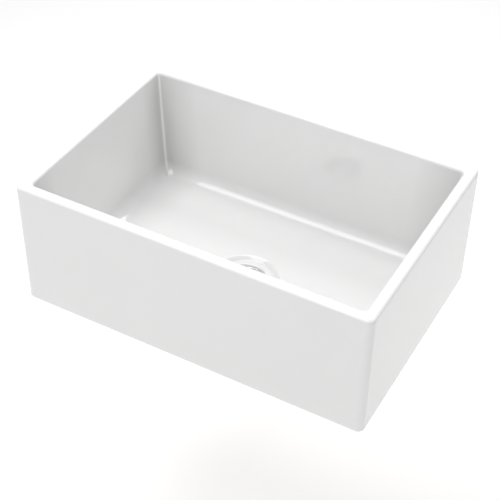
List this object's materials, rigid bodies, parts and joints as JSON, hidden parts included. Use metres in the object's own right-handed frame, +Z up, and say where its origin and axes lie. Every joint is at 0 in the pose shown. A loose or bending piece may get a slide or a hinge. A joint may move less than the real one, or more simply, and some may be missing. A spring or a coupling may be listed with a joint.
{
  "type": "farmhouse apron front sink",
  "caption": "White fireclay farmhouse sink: plain rectangular apron-front basin, round-edged rim, coved well and a centred basket-strainer waste with a lift-out basket and tailpiece.",
  "frame": {"origin": "centre of the basin's flat underside, in plan the middle of the rectangular basin; the waste hangs below it", "axes": "+X along the apron front to the right as seen from the front, +Y from the apron front to the back, +Z up"},
  "size_m": [0.686, 0.457, 0.4289],
  "materials": {
    "glaze": "gloss white glaze over fireclay, unglazed underneath",
    "polished_steel": "polished stainless steel",
    "satin_steel": "satin pressed stainless steel",
    "tube_steel": "drawn bright tube",
    "cast_zinc": "dull die-cast zinc",
    "rubber": "matt black rubber",
    "fibre": "pressed fibre",
    "nylon": "natural nylon"
  },
  "bodies": {
    "basin_and_waste": {"basin": "glaze", "flange_seal": "rubber", "strainer_body": "polished_steel", "lower_gasket": "rubber", "friction_ring": "fibre", "locknut": "cast_zinc", "outlet_spigot": "cast_zinc", "outlet_cross": "satin_steel", "tailpiece_washer": "nylon", "tailpiece": "tube_steel", "coupling_nut": "cast_zinc"},
    "basket": {"basket_shell": "satin_steel", "basket_collar": "polished_steel", "detent_ring": "rubber"},
    "stopper_post": {"lift_knob": "polished_steel", "post_rod": "polished_steel", "stopper_plate": "satin_steel", "stopper_seal": "rubber", "stopper_nut": "polished_steel", "snap_tip": "nylon"}
  },
  "joints": [
    {"name": "basket_lift", "type": "slide", "parent": "basin_and_waste", "child": "basket", "axis": [0, 0, 1], "range_m": [0, 0.33]},
    {"name": "stopper_press", "type": "slide", "parent": "basket", "child": "stopper_post", "axis": [0, 0, -1], "range_m": [0, 0.01]}
  ]
}
